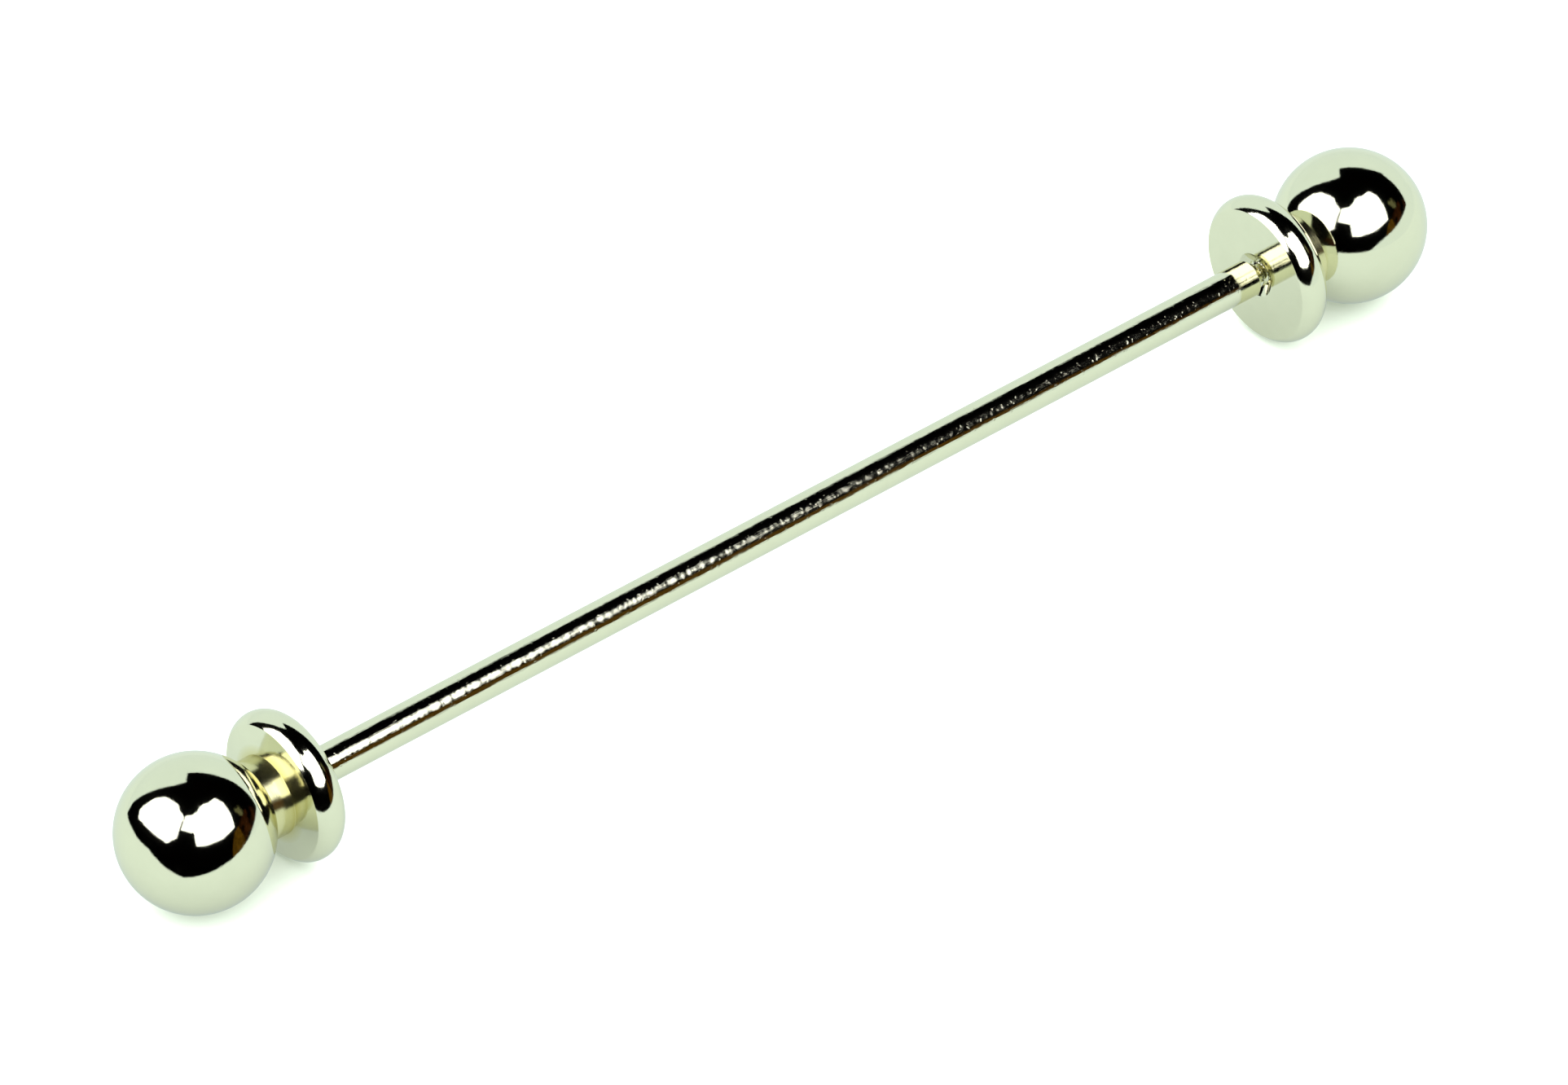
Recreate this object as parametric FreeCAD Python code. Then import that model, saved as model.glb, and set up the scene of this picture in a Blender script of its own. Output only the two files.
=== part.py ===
import FreeCAD, Part
import math
import os

os.makedirs("parts", exist_ok=True)

# A collar bar: a straight metal rod with a ball on a flanged collar at each end.
# It joins the two points of a shirt collar. One end is fixed. The other screws
# off a threaded stud, so that the rod can be passed through the cloth.
# The rod lies along X with the fixed end at -X. The origin is the centre of the
# whole object as it lies, with the screw end backed off by BACKED_OFF.
# Lengths are in millimetres.

# Driving dimensions
OVERALL = 62.0          # over both balls, as it lies
BALL_R = 3.0
ROD_R = 0.72
NECK_R = 1.6            # the collar's neck, between ball and flange
FLANGE_R = 3.0          # at the crown of the rim
FLANGE_EDGE_R = 2.7     # where the crowned rim meets the faces
FLANGE_T = 1.25         # at the rim
FLANGE_RISE = 0.18      # how far the ball-side face cones out, from its edge to the neck
BALL_TO_FLANGE = 3.55   # ball centre to the edge of the flange's ball-side face
PEG_R = 0.9             # the collar's peg, soldered into the ball
PEG_L = 1.4
PEG_GAP = 0.1           # solder space past the peg's end
ROD_SEAT = 1.8          # depth of the rod in the fixed collar
ROD_CHAMFER = 0.06

# The screw: a fine thread of nominally 1 mm
PITCH = 0.25
CREST_R = 0.49          # outer radius of the stud's thread
THREAD_DEPTH = 0.145
CREST_FLAT = 0.032
FLANK_SLOPE = math.tan(math.radians(30))
THREAD_ROOM = 0.04      # radial room between stud and tapped hole
STUD_L = 2.5
STUD_CHAMFER = 0.12
TAP_DEPTH = 3.2
MOUTH_R = 0.9           # countersink of the tapped hole, where the rod's shoulder seats
DRILL_POINT = 0.2       # depth of the cone left by the drill
BACKED_OFF = 0.3        # gap from the rod's shoulder to the screw end's flange

# Places and sizes that follow from these
BALL_X = OVERALL / 2 - BALL_R
SEAM_X = BALL_X - math.sqrt(BALL_R ** 2 - NECK_R ** 2)
OUTER_FACE_X = BALL_X - BALL_TO_FLANGE
INNER_FACE_X = OUTER_FACE_X - FLANGE_T
SHOULDER_X = INNER_FACE_X - BACKED_OFF
GROOVE_HALF = (PITCH - CREST_FLAT) / 2
ROOT_HALF = GROOVE_HALF - THREAD_DEPTH * FLANK_SLOPE
OVERCUT = 0.03          # how far the thread tools pass the surface that they cut
LEAST_CUT = 0.1         # cubic millimetres; a thread that is cut takes away more

AXIS = FreeCAD.Vector(1, 0, 0)
ORIGIN = FreeCAD.Vector(0, 0, 0)


def at(x, r):
    """A point of a lathe outline, x along the axis and r out from it."""
    return FreeCAD.Vector(x, 0, r)


def lines(points):
    """Straight edges through a list of outline points."""
    return [Part.makeLine(at(*a), at(*b)) for a, b in zip(points, points[1:])]


def turned(edges):
    """Revolve a closed outline about the X axis."""
    return Part.Face(Part.Wire(edges)).revolve(ORIGIN, AXIS, 360)


def rod_between(x0, x1, radius):
    return Part.makeCylinder(radius, x1 - x0, at(x0, 0), AXIS)


def helix_sweep(outline, x0, length):
    """Sweep a closed (x, r) outline along a right-hand helix that starts at x0."""
    corners = [FreeCAD.Vector(r, 0, x) for x, r in outline]
    profile = Part.makePolygon(corners + corners[:1])
    spine = Part.makeHelix(PITCH, length, CREST_R)
    sweep = Part.Wire(spine.Edges).makePipeShell([profile], True, True)
    sweep.rotate(ORIGIN, FreeCAD.Vector(0, 1, 0), 90)
    sweep.translate(at(x0, 0))
    return sweep


def cut_thread(blank, tool):
    """Cut a thread tool out of a blank. A cut that takes nothing away is an error."""
    threaded = blank.cut(tool)
    if threaded.Volume > blank.Volume - LEAST_CUT:
        raise ValueError("the thread was not cut")
    return threaded


def stud():
    """The rod's threaded end: a chamfered cylinder less a helical groove."""
    tip_x = SHOULDER_X + STUD_L
    blank = turned(lines([
        (SHOULDER_X, 0),
        (SHOULDER_X, CREST_R),
        (tip_x - STUD_CHAMFER, CREST_R),
        (tip_x, CREST_R - STUD_CHAMFER),
        (tip_x, 0),
        (SHOULDER_X, 0),
    ]))
    groove = helix_sweep([
        (-ROOT_HALF, CREST_R - THREAD_DEPTH),
        (ROOT_HALF, CREST_R - THREAD_DEPTH),
        (GROOVE_HALF, CREST_R),
        (GROOVE_HALF, CREST_R + OVERCUT),
        (-GROOVE_HALF, CREST_R + OVERCUT),
        (-GROOVE_HALF, CREST_R),
    ], SHOULDER_X - PITCH, STUD_L + 2 * PITCH)
    return cut_thread(blank, groove)


def bar():
    """The rod, with chamfered ends and the stud turned on its +X end."""
    tail_x = -INNER_FACE_X - ROD_SEAT
    rod = turned(lines([
        (tail_x, 0),
        (tail_x, ROD_R - ROD_CHAMFER),
        (tail_x + ROD_CHAMFER, ROD_R),
        (SHOULDER_X - ROD_CHAMFER, ROD_R),
        (SHOULDER_X, ROD_R - ROD_CHAMFER),
        (SHOULDER_X, 0),
        (tail_x, 0),
    ]))
    return rod.fuse(stud())


def collar_blank():
    """A flanged collar for the +X end: crowned flange, neck, and peg into the ball."""
    peg_x = SEAM_X + PEG_L
    rim = Part.Arc(
        at(INNER_FACE_X, FLANGE_EDGE_R),
        at((INNER_FACE_X + OUTER_FACE_X) / 2, FLANGE_R),
        at(OUTER_FACE_X, FLANGE_EDGE_R),
    ).toShape()
    inner_face = lines([(INNER_FACE_X, 0), (INNER_FACE_X, FLANGE_EDGE_R)])
    neck_and_peg = lines([
        (OUTER_FACE_X, FLANGE_EDGE_R),
        (OUTER_FACE_X + FLANGE_RISE, NECK_R),
        (SEAM_X, NECK_R),
        (SEAM_X, PEG_R),
        (peg_x, PEG_R),
        (peg_x, 0),
        (INNER_FACE_X, 0),
    ])
    return turned(inner_face + [rim] + neck_and_peg)


def tapped_hole():
    """The tool that cuts the screw end's hole: drill, countersink and thread."""
    hole_r = CREST_R - THREAD_DEPTH + THREAD_ROOM
    groove_r = CREST_R + THREAD_ROOM
    bottom_x = INNER_FACE_X + TAP_DEPTH
    drill = turned(lines([
        (INNER_FACE_X - OVERCUT, 0),
        (INNER_FACE_X - OVERCUT, MOUTH_R + OVERCUT),
        (INNER_FACE_X + MOUTH_R - hole_r, hole_r),
        (bottom_x, hole_r),
        (bottom_x + DRILL_POINT, 0),
        (INNER_FACE_X - OVERCUT, 0),
    ]))
    ridge_half = PITCH / 2 - ROOT_HALF
    crest_half = PITCH / 2 - GROOVE_HALF
    start_x = SHOULDER_X - PITCH / 2
    turns = math.ceil((bottom_x - start_x) / PITCH) - 1
    thread = helix_sweep([
        (-ridge_half, hole_r - OVERCUT),
        (ridge_half, hole_r - OVERCUT),
        (ridge_half, hole_r),
        (crest_half, groove_r),
        (-crest_half, groove_r),
        (-ridge_half, hole_r),
    ], start_x, turns * PITCH)
    return drill.fuse(thread)


def ball():
    """A ball for the +X end, with a flat at the seam and a blind hole for the peg."""
    hole_x = SEAM_X + PEG_L + PEG_GAP
    skin = Part.Arc(at(SEAM_X, NECK_R), at(BALL_X, BALL_R), at(BALL_X + BALL_R, 0))
    hole_and_flat = lines([
        (BALL_X + BALL_R, 0),
        (hole_x, 0),
        (hole_x, PEG_R),
        (SEAM_X, PEG_R),
        (SEAM_X, NECK_R),
    ])
    return turned([skin.toShape()] + hole_and_flat)


def at_fixed_end(shape):
    return shape.mirror(ORIGIN, AXIS)


def fixed_collar():
    seat = rod_between(-INNER_FACE_X - ROD_SEAT, -INNER_FACE_X, ROD_R)
    return at_fixed_end(collar_blank()).cut(seat)


pieces = {
    "bar": bar(),
    "fixed_collar": fixed_collar(),
    "fixed_ball": at_fixed_end(ball()),
    "screw_collar": cut_thread(collar_blank(), tapped_hole()),
    "screw_ball": ball(),
}

for name, shape in pieces.items():
    print(name, shape.isValid(), len(shape.Solids), round(shape.Volume, 4))
    shape.exportStep("parts/" + name + ".step")
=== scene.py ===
import math

import bpy
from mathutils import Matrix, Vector


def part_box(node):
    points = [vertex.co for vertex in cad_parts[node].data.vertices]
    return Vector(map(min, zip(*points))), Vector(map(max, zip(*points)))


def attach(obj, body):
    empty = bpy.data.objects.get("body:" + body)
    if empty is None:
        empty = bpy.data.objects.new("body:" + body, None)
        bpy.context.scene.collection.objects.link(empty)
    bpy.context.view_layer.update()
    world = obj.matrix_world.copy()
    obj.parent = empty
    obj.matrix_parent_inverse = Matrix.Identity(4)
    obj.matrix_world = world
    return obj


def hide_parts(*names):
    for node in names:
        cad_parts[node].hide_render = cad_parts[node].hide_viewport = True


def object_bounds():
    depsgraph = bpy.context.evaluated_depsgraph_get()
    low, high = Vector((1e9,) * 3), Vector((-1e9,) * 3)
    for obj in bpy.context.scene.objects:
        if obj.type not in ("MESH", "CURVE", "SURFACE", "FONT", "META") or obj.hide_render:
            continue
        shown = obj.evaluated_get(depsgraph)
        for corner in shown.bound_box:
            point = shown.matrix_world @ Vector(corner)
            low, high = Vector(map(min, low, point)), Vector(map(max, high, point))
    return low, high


# The looks of a bright-plated collar bar: dense turned skins over the CAD nodes,
# plated-metal materials, a white sheet to lie on and soft white light. Polished
# metal shows the room around it, so a few glowing cards stand for that room: two
# windows, a pale wall, two tables, a lamp and a curled corner of the paper. They
# are seen in reflections only.
# Everything is in metres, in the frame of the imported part: the rod lies along X.

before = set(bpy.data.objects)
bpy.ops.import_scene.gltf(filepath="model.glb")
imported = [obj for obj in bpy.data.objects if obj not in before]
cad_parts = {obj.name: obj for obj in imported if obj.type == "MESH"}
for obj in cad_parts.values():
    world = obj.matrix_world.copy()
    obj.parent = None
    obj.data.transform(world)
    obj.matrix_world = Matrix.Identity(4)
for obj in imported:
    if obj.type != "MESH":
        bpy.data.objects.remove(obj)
cad_low, cad_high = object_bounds()

MM = 0.001

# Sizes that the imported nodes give
bar_low, bar_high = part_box("bar")
collar_low, collar_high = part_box("screw_collar")
ball_low, ball_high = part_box("screw_ball")
ROD_R = bar_high.z
TAIL_X = bar_low.x
TIP_X = bar_high.x
FLANGE_R = collar_high.z
INNER_FACE_X = collar_low.x
PEG_X = collar_high.x
BALL_R = ball_high.z
BALL_X = ball_high.x - BALL_R
SEAM_X = ball_low.x
FLOOR_Z = cad_low.z

# Sizes inside the nodes
FLANGE_EDGE_R = 2.7 * MM        # where the crowned rim meets the faces
FLANGE_T = 1.25 * MM            # at the rim
FLANGE_RISE = 0.18 * MM         # how far the ball-side face cones out, from its edge to the neck
PEG_R = 0.9 * MM
PEG_GAP = 0.1 * MM
NECK_R = 1.6 * MM
OUTER_FACE_X = INNER_FACE_X + FLANGE_T
BACKED_OFF = 0.3 * MM
SHOULDER_X = INNER_FACE_X - BACKED_OFF
ROD_CHAMFER = 0.06 * MM

# The screw
PITCH = 0.25 * MM
CREST_R = 0.49 * MM
THREAD_DEPTH = 0.145 * MM
CREST_FLAT = 0.032 * MM
FLANK_SLOPE = math.tan(math.radians(30))
THREAD_ROOM = 0.04 * MM
STUD_CHAMFER = 0.12 * MM
TAP_DEPTH = 3.2 * MM
DRILL_POINT = 0.2 * MM
MOUTH_R = 0.9 * MM
GROOVE_HALF = (PITCH - CREST_FLAT) / 2
ROOT_HALF = GROOVE_HALF - THREAD_DEPTH * FLANK_SLOPE
HOLE_R = CREST_R - THREAD_DEPTH + THREAD_ROOM

# How finely the skins are made
RINGS_PER_PITCH = 22
RING_GAP = PITCH / RINGS_PER_PITCH
TURN_STEPS = 144
BALL_STEPS = 192
BALL_RINGS = 120
RIM_RINGS = 48
EDGE_ROUND = 0.012 * MM         # reach of the rounding at a right-angled edge
EDGE_RINGS = 4
LEAST_TURN = math.radians(12)   # a gentler corner than this isn't rounded
MOST_OF_SIDE = 0.4              # the rounding takes no more of a side than this
ROOM_TO_HOLD = 8                # sides longer than this many reaches get a holding ring
SHARP_ANGLE = math.radians(32)
ON_AXIS = 1e-9


# ---------------------------------------------------------------- outlines

def spread(a, b, count):
    """count even steps from a to b, both ends included."""
    return [a + (b - a) * i / count for i in range(count + 1)]


def arc(centre_x, centre_r, radius, start, end, count):
    """Points of a circular stretch of an outline; angles in radians from +X."""
    return [
        (centre_x + radius * math.cos(t), centre_r + radius * math.sin(t))
        for t in spread(start, end, count)
    ]


def softened(corners):
    """Round every inner corner of an outline slightly, and hold the flats flat beside it."""
    points = [corners[0]]
    for before, corner, after in zip(corners, corners[1:], corners[2:]):
        here = Vector(corner)
        back = Vector(before) - here
        ahead = Vector(after) - here
        turn = math.pi - back.angle(ahead)
        if turn < LEAST_TURN:
            points.append(corner)
            continue
        shorter = min(MOST_OF_SIDE * back.length, MOST_OF_SIDE * ahead.length)
        reach = min(EDGE_ROUND * math.tan(turn / 2), shorter)
        start = here + back.normalized() * reach
        end = here + ahead.normalized() * reach
        if back.length > ROOM_TO_HOLD * reach:
            points.append(tuple(here + back.normalized() * reach * 2))
        for t in spread(0, 1, EDGE_RINGS):
            blend = start * (1 - t) ** 2 + here * 2 * t * (1 - t) + end * t ** 2
            points.append(tuple(blend))
        if ahead.length > ROOM_TO_HOLD * reach:
            points.append(tuple(here + ahead.normalized() * reach * 2))
    return points + [corners[-1]]


def crowned_rim():
    """The flange's rim: an arc from its inner to its outer face edge."""
    half = FLANGE_T / 2
    rise = FLANGE_R - FLANGE_EDGE_R
    radius = (half ** 2 + rise ** 2) / (2 * rise)
    lean = math.asin(half / radius)
    middle = (INNER_FACE_X + OUTER_FACE_X) / 2
    top = math.pi / 2
    return arc(middle, FLANGE_R - radius, radius, top + lean, top - lean, RIM_RINGS)


def flange_and_neck():
    """From the rod-side face's edge over the rim and the coned back to the seam."""
    return crowned_rim() + [(OUTER_FACE_X + FLANGE_RISE, NECK_R), (SEAM_X, NECK_R)]


def peg():
    """The hidden end: its shoulder lies on the ball's flat, so its edge stays sharp."""
    return [(SEAM_X, PEG_R), (PEG_X, PEG_R), (PEG_X, 0)]


def fixed_collar_outline():
    """From the bottom of the rod's seat out to the flange and over it."""
    seat_x = -TAIL_X
    bore = [(seat_x, 0), (seat_x, ROD_R), (INNER_FACE_X, ROD_R)]
    return softened(bore + flange_and_neck()) + peg()


def screw_collar_outline():
    """From the bottom of the tapped hole out through its countersink, then over the flange."""
    bottom_x = INNER_FACE_X + TAP_DEPTH
    cone_x = INNER_FACE_X + MOUTH_R - HOLE_R
    wall_rings = spread(bottom_x, cone_x, round((bottom_x - cone_x) / RING_GAP))
    cone_rings = spread(cone_x, INNER_FACE_X, round((cone_x - INNER_FACE_X) / RING_GAP))
    wall = [(x, HOLE_R) for x in wall_rings]
    cone = [(x, HOLE_R + cone_x - x) for x in cone_rings[1:]]
    drill = [(bottom_x + DRILL_POINT, 0)]
    lip = softened([cone[-2], cone[-1]] + flange_and_neck())
    return drill + wall + cone[:-1] + lip[1:] + peg()


def bar_outline():
    """From the hidden tail along the rod and the stud's crests to the tip."""
    shoulder = softened([
        (TAIL_X, 0),
        (TAIL_X, ROD_R - ROD_CHAMFER),
        (TAIL_X + ROD_CHAMFER, ROD_R),
        (SHOULDER_X - ROD_CHAMFER, ROD_R),
        (SHOULDER_X, ROD_R - ROD_CHAMFER),
        (SHOULDER_X, CREST_R),
    ])
    stud_rings = spread(SHOULDER_X, TIP_X, round((TIP_X - SHOULDER_X) / RING_GAP))
    stud = [(x, min(CREST_R, CREST_R - STUD_CHAMFER + TIP_X - x)) for x in stud_rings[1:]]
    return shoulder + stud + [(TIP_X, 0)]


def ball_outline():
    """From the peg's blind hole over the flat to the far pole."""
    hole_x = PEG_X + PEG_GAP
    seam_turn = math.acos((SEAM_X - BALL_X) / BALL_R)
    hole = [(hole_x, 0), (hole_x, PEG_R), (SEAM_X, PEG_R)]
    return hole + arc(BALL_X, 0, BALL_R, seam_turn, 0, BALL_RINGS)


# ---------------------------------------------------------------- turned pieces

def helix_offset(x, angle, start_x):
    """Distance along the axis from the nearest turn of a helix that starts at start_x."""
    turns = (x - start_x) / PITCH - angle / (2 * math.pi)
    return abs(turns - round(turns)) * PITCH


def stud_relief(x, r, angle):
    """The stud's radius with its helical groove cut in."""
    if x < SHOULDER_X + RING_GAP / 2:
        return r
    cut = (GROOVE_HALF - helix_offset(x, angle, SHOULDER_X)) / FLANK_SLOPE
    depth = min(max(cut, 0), THREAD_DEPTH)
    return min(r, CREST_R - depth)


def tapped_relief(x, r, angle):
    """The tapped hole's radius with its helical groove cut in."""
    beside_thread = x <= INNER_FACE_X or x > INNER_FACE_X + TAP_DEPTH - PITCH / 2
    if beside_thread or r > CREST_R + THREAD_ROOM:
        return r
    ridge = (PITCH / 2 - ROOT_HALF - helix_offset(x, angle, SHOULDER_X - PITCH / 2)) / FLANK_SLOPE
    return max(r, HOLE_R + min(max(ridge, 0), THREAD_DEPTH))


def no_relief(x, r, angle):
    return r


def turned_piece(name, outline, steps, relief=no_relief, side=1):
    """A closed skin swept round the X axis from an (x, r) outline; side -1 mirrors it in X."""
    points = []
    rings = []
    for x, r in outline:
        if r < ON_AXIS:
            rings.append([len(points)] * steps)
            points.append((side * x, 0, 0))
            continue
        rings.append(list(range(len(points), len(points) + steps)))
        for k in range(steps):
            angle = 2 * math.pi * k / steps
            radius = relief(x, r, angle)
            points.append((side * x, radius * math.sin(angle), -radius * math.cos(angle)))
    faces = []
    for low, high in zip(rings, rings[1:]):
        for k in range(steps):
            after = (k + 1) % steps
            corners = [low[k], low[after], high[after], high[k]]
            face = list(dict.fromkeys(corners))
            faces.append(face[::side])
    mesh = bpy.data.meshes.new(name)
    mesh.from_pydata(points, [], faces)
    mesh.validate()
    mesh.shade_smooth()
    mesh.set_sharp_from_angle(angle=SHARP_ANGLE)
    piece = bpy.data.objects.new(name, mesh)
    bpy.context.scene.collection.objects.link(piece)
    return piece


# ---------------------------------------------------------------- materials

def material(name):
    made = bpy.data.materials.new(name)
    made.use_nodes = True
    made.node_tree.nodes.clear()
    return made


class Wiring:
    """Short names for adding and linking the nodes of one material.

    An input is named by its label, with _ for a space, or by _ and its number.
    """

    def __init__(self, tree):
        self.tree = tree

    def add(self, kind, settings=None, **inputs):
        node = self.tree.nodes.new(kind)
        for key, value in (settings or {}).items():
            setattr(node, key, value)
        for key, value in inputs.items():
            self.put(node, key, value)
        return node

    def put(self, node, key, value):
        socket = node.inputs[int(key[1:])] if key[0] == "_" else node.inputs[key.replace("_", " ")]
        if isinstance(value, bpy.types.NodeSocket):
            self.tree.links.new(value, socket)
        else:
            socket.default_value = value

    def math(self, operation, a, b=0.0, c=0.0):
        node = self.add("ShaderNodeMath", {"operation": operation}, _0=a, _1=b, _2=c)
        return node.outputs[0]

    def remap(self, value, low, high, out_low, out_high):
        node = self.add("ShaderNodeMapRange", _0=value, _1=low, _2=high, _3=out_low, _4=out_high)
        return node.outputs[0]

    def noise(self, place, scale, detail=3.0, roughness=0.5):
        node = self.add(
            "ShaderNodeTexNoise", Vector=place, Scale=scale, Detail=detail, Roughness=roughness
        )
        return node.outputs["Fac"]

    def stretched(self, place, scales):
        node = self.add("ShaderNodeVectorMath", {"operation": "MULTIPLY"}, _0=place, _1=scales)
        return node.outputs[0]

    def lathe_place(self, place):
        """(x, distance from the axis, 0): what turns with the lathe is constant in it."""
        parts = self.add("ShaderNodeSeparateXYZ", _0=place)
        off_axis = self.add("ShaderNodeCombineXYZ", Y=parts.outputs["Y"], Z=parts.outputs["Z"])
        radius = self.add("ShaderNodeVectorMath", {"operation": "LENGTH"}, _0=off_axis.outputs[0])
        joined = self.add("ShaderNodeCombineXYZ", X=parts.outputs["X"], Y=radius.outputs["Value"])
        return joined.outputs[0]


PLATE_COLOUR = (0.82, 0.80, 0.58)
EDGE_TINT = (0.90, 0.90, 0.90)          # dimming where the plate is seen edge-on
NECK_SHADE_COLOUR = (0.72, 0.67, 0.35)      # painted shade: darker and warmer where the neck meets the flange
RECESS_FADE = 0.4 * MM                  # from the neck out over the flange
RECESS_DULLING = 0.10
FACE_MARGIN = 0.001 * MM

# How fine the marks are, in noise cells to the metre
CLOUDS = 900.0          # in the plate's colour
SCUFFS = 9000.0         # in its gloss
GRAIN = 25000.0
PITS = 7000.0
LATHE_HAZE = 2500.0
ORANGE_PEEL = 1800.0
PAPER_TOOTH = 3000.0
HAIRS = (900.0, 40000.0, 40000.0)       # along the rod, then across it
WAVES = (2600.0, 1500.0, 1500.0)
LATHE_RINGS = (16000.0, 16000.0, 1.0)   # along the axis, out from it

# How high the marks stand
HAIR_HEIGHT = 0.0024 * MM
WAVE_HEIGHT = 0.0075 * MM
PIT_DEPTH = 0.002 * MM
RING_HEIGHT = 0.0010 * MM
HAZE_HEIGHT = 0.0010 * MM
PEEL_HEIGHT = 0.0015 * MM
TURNED_GRAIN = 0.0007 * MM
POLISHED_GRAIN = 0.0008 * MM


def no_neck_shade(w, place):
    return 0.0


def neck_shade_and_dulling(w, place):
    """1 on the collar's neck, fading out over its flange, where the plate's colour is a painted
    shade; 0 on the rod's side of the flange.
    """
    along = w.math("ABSOLUTE", w.add("ShaderNodeSeparateXYZ", _0=place).outputs["X"])
    outside = w.math("GREATER_THAN", along, OUTER_FACE_X - FACE_MARGIN)
    radius = w.add("ShaderNodeSeparateXYZ", _0=w.lathe_place(place)).outputs["Y"]
    return w.math("MULTIPLY", outside, w.remap(radius, NECK_R, NECK_R + RECESS_FADE, 1.0, 0.0))


def plated(name, marks, roughness, wear, neck_mask=no_neck_shade):
    """Bright nickel plate. marks(wiring, place) gives its tool marks' height in metres.

    Roughness goes from roughness to roughness + wear in small scuffs.
    The mask in the last argument is 1 at the collar's neck, where the colour is a painted shade,
    darker and warmer, and the plate is rougher.
    """
    made = material(name)
    w = Wiring(made.node_tree)
    place = w.add("ShaderNodeTexCoord").outputs["Object"]
    cloud = w.noise(place, CLOUDS, 4.0, 0.6)
    scuff = w.noise(place, SCUFFS, 3.0, 0.6)
    # painted shade at the neck: a darker, warmer colour; the same mask also roughens the plate
    # there
    neck_shade = neck_mask(w, place)
    shaded_tint = w.add(
        "ShaderNodeMix", {"data_type": "RGBA"},
        _0=neck_shade, _6=(*PLATE_COLOUR, 1.0), _7=(*NECK_SHADE_COLOUR, 1.0),
    ).outputs[2]
    shade = w.remap(cloud, 0.3, 0.7, 0.97, 1.0)
    colour = w.add("ShaderNodeVectorMath", {"operation": "SCALE"}, _0=shaded_tint, Scale=shade).outputs[0]
    dullness = w.remap(scuff, 0.35, 0.75, roughness, roughness + wear)
    dullness = w.math("MULTIPLY_ADD", neck_shade, RECESS_DULLING, dullness)
    bump = w.add("ShaderNodeBump", Strength=1.0, Distance=1.0, Height=marks(w, place))
    shader = w.add(
        "ShaderNodeBsdfPrincipled",
        Base_Color=colour, Metallic=1.0, Roughness=dullness, Normal=bump.outputs[0],
        Specular_Tint=(*EDGE_TINT, 1.0),
    )
    w.add("ShaderNodeOutputMaterial", Surface=shader.outputs[0])
    return made


def grain(w, place, height):
    """The finest marks, which only soften a reflection's edges."""
    return w.math("MULTIPLY", w.noise(place, GRAIN, 1.0), height)


def drawn_marks(w, place):
    """Rod: hairlines along it from drawing, low waves across it, and small pits."""
    hairs = w.noise(w.stretched(place, HAIRS), 1.0, 1.0)
    waves = w.noise(w.stretched(place, WAVES), 1.0, 1.0)
    pits = w.remap(w.noise(place, PITS, 1.0), 0.66, 0.76, 0.0, -1.0)
    total = w.math("MULTIPLY", hairs, HAIR_HEIGHT)
    total = w.math("MULTIPLY_ADD", waves, WAVE_HEIGHT, total)
    return w.math("MULTIPLY_ADD", pits, PIT_DEPTH, total)


def turning_marks(w, place):
    """Collars: faint rings from the lathe, and a faint unevenness."""
    rings = w.noise(w.stretched(w.lathe_place(place), LATHE_RINGS), 1.0, 2.0)
    haze = w.noise(place, LATHE_HAZE, 2.0)
    total = w.math("MULTIPLY_ADD", rings, RING_HEIGHT, grain(w, place, TURNED_GRAIN))
    return w.math("MULTIPLY_ADD", haze, HAZE_HEIGHT, total)


def polishing_marks(w, place):
    """Balls: a trace of orange peel under the polish."""
    peel = w.noise(place, ORANGE_PEEL, 2.0)
    return w.math("MULTIPLY_ADD", peel, PEEL_HEIGHT, grain(w, place, POLISHED_GRAIN))


# ---------------------------------------------------------------- the object

drawn_plate = plated("plated_rod", drawn_marks, 0.05, 0.05)
# the collars' plate carries the painted shade at the neck
turned_plate = plated("plated_turning", turning_marks, 0.06, 0.04, neck_shade_and_dulling)
polished_plate = plated("plated_ball", polishing_marks, 0.05, 0.02)


def finished(piece, node, body, metal):
    piece.data.materials.append(metal)
    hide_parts(node)
    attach(piece, body)


finished(
    turned_piece("rod_with_stud", bar_outline(), TURN_STEPS, stud_relief),
    "bar", "rod_and_fixed_end", drawn_plate,
)
finished(
    turned_piece("fixed_collar_skin", fixed_collar_outline(), TURN_STEPS, side=-1),
    "fixed_collar", "rod_and_fixed_end", turned_plate,
)
finished(
    turned_piece("fixed_ball_skin", ball_outline(), BALL_STEPS, side=-1),
    "fixed_ball", "rod_and_fixed_end", polished_plate,
)
finished(
    turned_piece("screw_collar_skin", screw_collar_outline(), TURN_STEPS, tapped_relief),
    "screw_collar", "screw_end_collar", turned_plate,
)
finished(
    turned_piece("screw_ball_skin", ball_outline(), BALL_STEPS),
    "screw_ball", "screw_end_ball", polished_plate,
)


# ---------------------------------------------------------------- stage

def glowing(name, colour, strength):
    made = material(name)
    w = Wiring(made.node_tree)
    shader = w.add("ShaderNodeEmission", Color=(*colour, 1.0), Strength=strength)
    w.add("ShaderNodeOutputMaterial", Surface=shader.outputs[0])
    return made


def mottled(name, colour, strength, spots, least=0.0):
    """A dim thing in the room, from least to strength in patches, spots of them to a metre."""
    made = material(name)
    w = Wiring(made.node_tree)
    place = w.add("ShaderNodeTexCoord").outputs["Object"]
    patches = w.remap(w.noise(place, spots, 2.0), 0.40, 0.62, least, strength)
    shader = w.add("ShaderNodeEmission", Color=(*colour, 1.0), Strength=patches)
    w.add("ShaderNodeOutputMaterial", Surface=shader.outputs[0])
    return made


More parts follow.
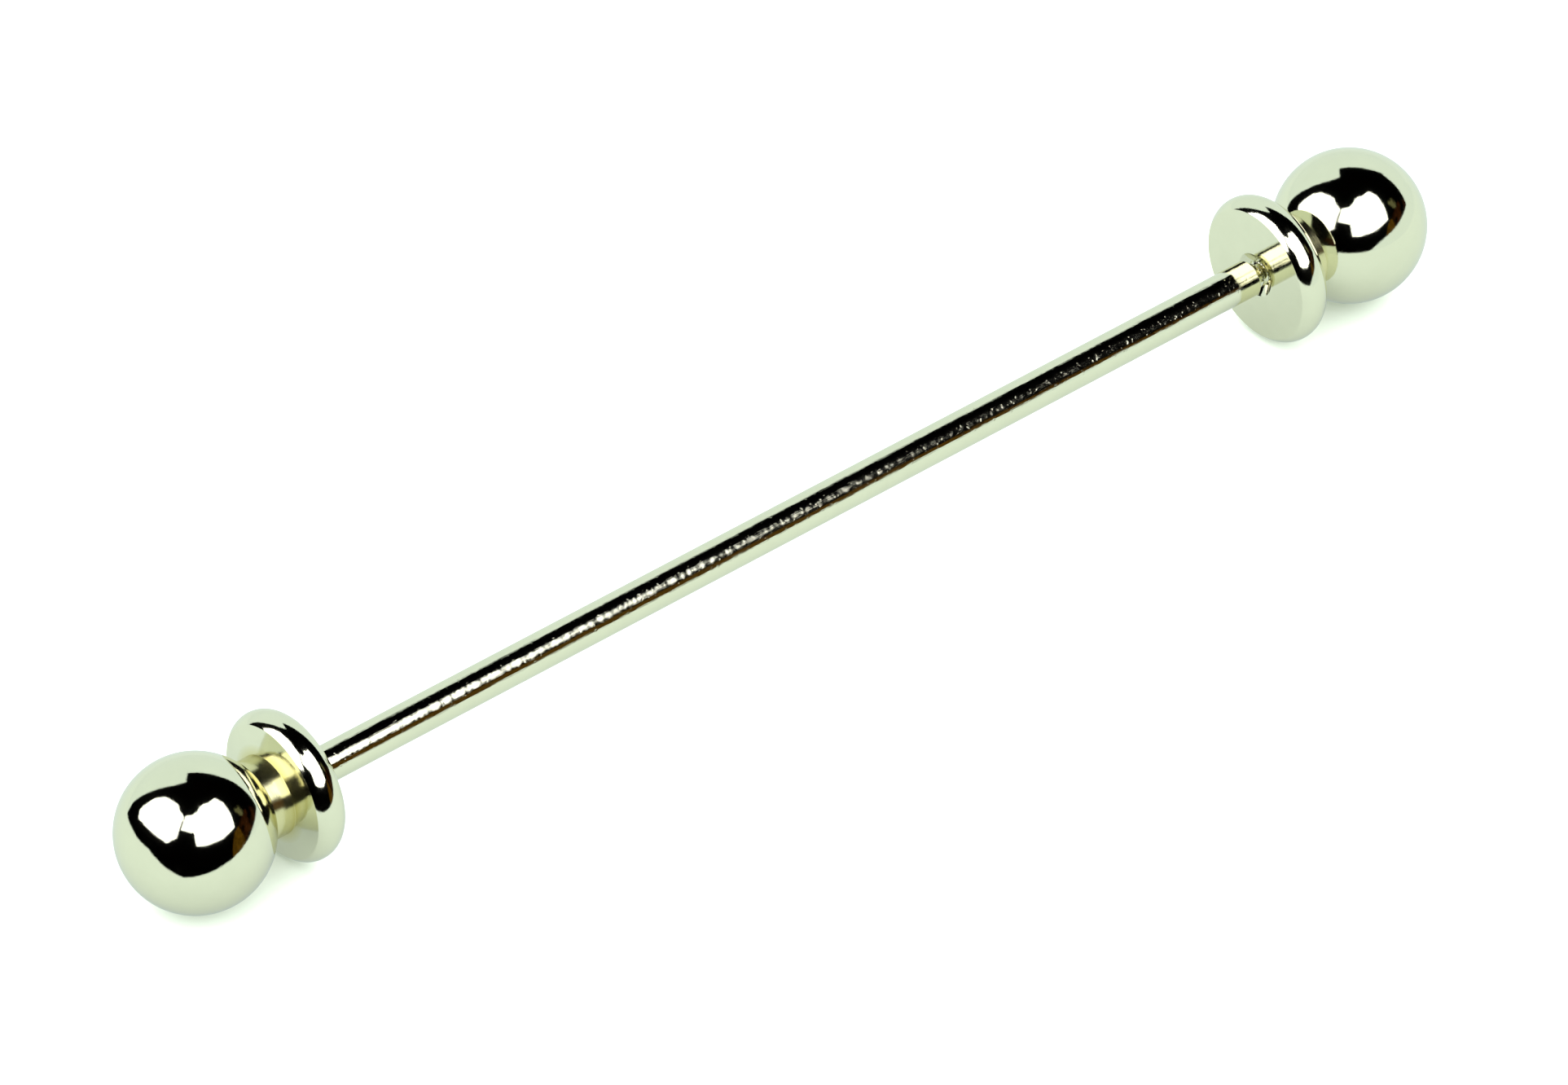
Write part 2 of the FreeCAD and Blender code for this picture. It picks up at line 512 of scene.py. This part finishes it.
def paper(name, white, glow=(0.0, 0.0, 0.0)):
    """Paper with a very faint tooth; glow is light that it gives even in the object's shade."""
    made = material(name)
    w = Wiring(made.node_tree)
    place = w.add("ShaderNodeTexCoord").outputs["Object"]
    shade = w.remap(w.noise(place, PAPER_TOOTH, 3.0), 0.3, 0.7, 0.985, 1.0)
    colour = w.add(
        "ShaderNodeVectorMath", {"operation": "SCALE"}, _0=white, Scale=shade
    ).outputs[0]
    diffuse = w.add("ShaderNodeBsdfDiffuse", Color=colour)
    light = w.add("ShaderNodeEmission", Color=(*glow, 1.0))
    shader = w.add("ShaderNodeAddShader", _0=diffuse.outputs[0], _1=light.outputs[0])
    w.add("ShaderNodeOutputMaterial", Surface=shader.outputs[0])
    return made


def card(name, points, faces, look):
    mesh = bpy.data.meshes.new(name)
    mesh.from_pydata([tuple(p) for p in points], [], faces)
    mesh.materials.append(look)
    made = bpy.data.objects.new(name, mesh)
    bpy.context.scene.collection.objects.link(made)
    return made


def only_in_reflections(made):
    """Seen in the metal, and by nothing else."""
    made.visible_camera = False
    made.visible_diffuse = False
    made.visible_transmission = False
    made.visible_volume_scatter = False
    made.visible_shadow = False
    return made


FIXED_BALL = Vector((-BALL_X, 0, 0))
SCREW_BALL = Vector((BALL_X, 0, 0))
CARD_DISTANCE = 1.2
TABLE_DISTANCE = CARD_DISTANCE * 1.1    # behind the windows and the wall
CURL_DISTANCE = 45 * MM
CARD_FOOT = -12                         # in degrees, below the edge of the paper
CURL_FOOT = -3


def seen_at(azimuth, elevation, distance=CARD_DISTANCE, ball=FIXED_BALL):
    """A card's corner, in degrees of azimuth from +X and of elevation, as a ball sees it."""
    a = math.radians(azimuth)
    e = math.radians(elevation)
    ray = Vector((math.cos(a) * math.cos(e), math.sin(a) * math.cos(e), math.sin(e)))
    return ball + ray * distance


def window(name, corners, look):
    """A flat card, from the (azimuth, elevation) of its corners."""
    points = [seen_at(*c) for c in corners]
    return only_in_reflections(card(name, points, [list(range(len(points)))], look))


def curtain(name, rim, foot, look, distance=CARD_DISTANCE, ball=FIXED_BALL):
    """A standing card. rim gives (azimuth, elevation) along its top, foot its lowest elevation."""
    points = [seen_at(azimuth, top, distance, ball) for azimuth, top in rim]
    points += [seen_at(azimuth, foot, distance, ball) for azimuth, top in rim]
    count = len(rim)
    faces = [[i, i + 1, count + i + 1, count + i] for i in range(count - 1)]
    return only_in_reflections(card(name, points, faces, look))


def sheet(name, corners, height, look):
    """A level card, from the (x, y) of its corners."""
    return card(name, [(x, y, height) for x, y in corners], [list(range(len(corners)))], look)


FLOOR_HALF = 3.0
FLOOR_CORNERS = [(-1, -1), (1, -1), (1, 1), (-1, 1)]
SHEET_LIFT = 0.002 * MM

# The sheet of paper as the metal sees it, in millimetres: it ends just past the fixed ball.
REFLECTED_SHEET = [
    (-36, -6.4), (-30, -18.5), (-18.6, -35), (11, -71), (180, -290), (400, -290), (400, 400),
    (-47, 400), (-46, 52), (-300, 260), (-300, 60), (-64, -1),
]

PAPER_WHITE = (0.90, 0.96, 0.86)
REFLECTED_WHITE = (0.204, 0.228, 0.223)     # the part of its brightness that shade takes away
REFLECTED_GLOW = (0.377, 0.436, 0.438)      # and the part that stays
PALE = (0.83, 0.97, 0.985)
DAYLIGHT = (0.95, 0.98, 1.08)
BROWN = (1.0, 0.30, 0.07)
TAN = (1.0, 0.48, 0.035)
LAMP_YELLOW = (1.0, 1.0, 0.5)
ROOM_LIGHT = (0.96, 1.0, 1.02)
ROOM_STRENGTH = 2.6
WINDOW_STRENGTH = 2.6

LAMP_AZIMUTH = -35
LAMP_ELEVATION = 31
LAMP_RADIUS = 7                             # in degrees
LAMP_CORNERS = 16

floor = sheet(
    "floor",
    [(x * FLOOR_HALF, y * FLOOR_HALF) for x, y in FLOOR_CORNERS],
    FLOOR_Z, paper("white_paper", PAPER_WHITE),
)
floor.visible_glossy = False
only_in_reflections(sheet(
    "reflected_sheet",
    [(x * MM, y * MM) for x, y in REFLECTED_SHEET],
    FLOOR_Z + SHEET_LIFT, paper("reflected_paper", REFLECTED_WHITE, REFLECTED_GLOW),
))

window_light = glowing("window_light", DAYLIGHT, WINDOW_STRENGTH)
window(
    "left_window",
    [(-157, 60), (-157, 30), (-170, 19), (180, 20), (143, 17), (133, 13), (125, 18), (122, 40),
     (125, 53), (140, 63), (160, 68), (180, 65)],
    window_light,
)
window(
    "right_window",
    [(-31, 64), (-37, 53), (-49, 40), (-60, 25), (-87, 22), (-113, 21), (-125, 22), (-128, 40),
     (-153, 42), (-153, 62), (-133, 65), (-113, 70), (-97, 75), (-73, 75), (-53, 70)],
    window_light,
)
curtain(
    "pale_backdrop",
    [(113, -8), (108, 5), (108, 30), (103, 46), (95, 56), (82, 61), (70, 62), (61, 46), (50, 46),
     (38, 45), (22, 40), (8, 28), (-3, 14), (-10, 5), (-30, 4), (-40, 3), (-50, 0),
     (-58, -3), (-66, -8)],
    CARD_FOOT, glowing("pale_backdrop", PALE, 1.0),
)
curtain(
    "brown_table",
    [(-14, 8), (-22, 22), (-40, 26), (-54, 22)],
    CARD_FOOT, mottled("brown_table", BROWN, 0.035, 5.0), TABLE_DISTANCE,
)
curtain(
    "tan_table",
    [(-54, 22), (-62, 21), (-70, 14), (-77, 0)],
    CARD_FOOT, mottled("tan_table", TAN, 0.095, 9.0, 0.05), TABLE_DISTANCE,
)
curtain(
    "paper_curl",
    [(-106, -3), (-95, 3), (-86, 7), (-78, 9), (-64, 11), (-52, 12), (-40, 13), (-22, 12),
     (-10, 23), (0, 31), (8, 36)],
    CURL_FOOT, glowing("paper_curl", PALE, 1.0), CURL_DISTANCE, SCREW_BALL,
)
window(
    "dim_lamp",
    [
        (LAMP_AZIMUTH + LAMP_RADIUS * math.cos(t), LAMP_ELEVATION + LAMP_RADIUS * math.sin(t))
        for t in spread(0, 2 * math.pi, LAMP_CORNERS)[:-1]
    ],
    mottled("dim_lamp", LAMP_YELLOW, 0.12, 9.0),
)

world = bpy.data.worlds.new("soft_white")
world.use_nodes = True
background = world.node_tree.nodes["Background"]
background.inputs["Color"].default_value = (*ROOM_LIGHT, 1.0)
background.inputs["Strength"].default_value = ROOM_STRENGTH
world.cycles_visibility.glossy = False      # the metal sees the cards, and darkness between them
bpy.context.scene.world = world
bpy.context.scene.view_settings.view_transform = "Standard"

# ---------------------------------------------------------------- camera

CAMERA_AZIMUTH = math.radians(-39.95)    # 0 looks along +Y
CAMERA_ELEVATION = math.radians(39.04)
CAMERA_DISTANCE = 0.5
CAMERA_TARGET = Vector((-0.947, -0.887, 0)) * MM
CAMERA_LENS = 309.0

back = Vector((
    math.sin(CAMERA_AZIMUTH) * math.cos(CAMERA_ELEVATION),
    -math.cos(CAMERA_AZIMUTH) * math.cos(CAMERA_ELEVATION),
    math.sin(CAMERA_ELEVATION),
))
lens = bpy.data.cameras.new("camera")
lens.lens = CAMERA_LENS
lens.clip_start = 0.01
camera = bpy.data.objects.new("camera", lens)
camera.rotation_mode = "QUATERNION"
camera.rotation_quaternion = back.to_track_quat("Z", "Y")
camera.location = CAMERA_TARGET + back * CAMERA_DISTANCE
bpy.context.scene.collection.objects.link(camera)
bpy.context.scene.camera = camera

bpy.context.view_layer.update()
